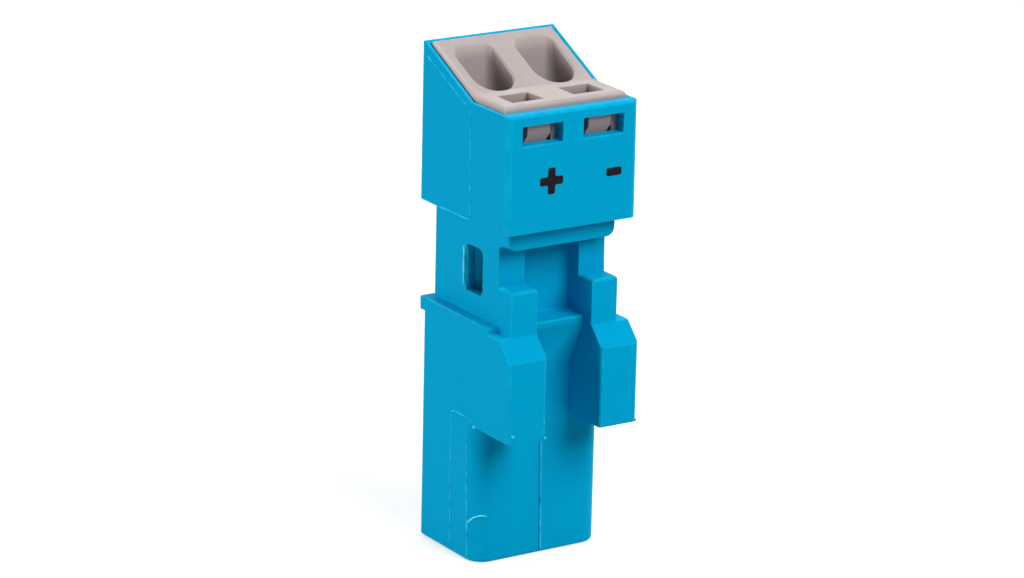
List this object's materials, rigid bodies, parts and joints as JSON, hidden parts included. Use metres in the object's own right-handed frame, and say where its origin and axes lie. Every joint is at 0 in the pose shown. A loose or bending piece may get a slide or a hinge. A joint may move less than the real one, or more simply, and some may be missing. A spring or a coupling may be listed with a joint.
{
  "type": "pluggable wire connector",
  "caption": "Slim pluggable wire connector: blue sleeve with snap catch and guide arms, box head with latch windows, and a sloping grey push-in wire entry over sprung clamps.",
  "frame": {"origin": "bottom centre of the bounding box, on the rim of the mating sleeve", "axes": "+Z from the mating end up to the wire entries, +X across the poles from plus to minus, -Y towards the catch and the guide arms"},
  "size_m": [0.0094, 0.0106, 0.0321],
  "materials": {
    "blue_housing": "moulded light blue, satin",
    "grey_insert": "moulded warm grey, satin",
    "tinned_copper": "stamped copper, tin plated",
    "spring_steel": "bright rolled strip"
  },
  "bodies": {
    "connector": {"housing": "blue_housing", "wire_entry_insert": "grey_insert", "contact_plus": "tinned_copper", "contact_minus": "tinned_copper", "clamp_spring_plus": "spring_steel", "clamp_spring_minus": "spring_steel"},
    "clamp_plus": {"clamp_tongue_plus": "spring_steel"},
    "clamp_minus": {"clamp_tongue_minus": "spring_steel"}
  },
  "joints": [
    {"name": "clamp_plus_flex", "type": "hinge", "parent": "connector", "child": "clamp_plus", "pos_m": [-0.0022, -0.00258, 0.0246], "axis": [-1, 0, 0], "range_deg": [0, 18], "stiffness_Nm_per_rad": 0.2},
    {"name": "clamp_minus_flex", "type": "hinge", "parent": "connector", "child": "clamp_minus", "pos_m": [0.0022, -0.00258, 0.0246], "axis": [-1, 0, 0], "range_deg": [0, 18], "stiffness_Nm_per_rad": 0.2}
  ]
}
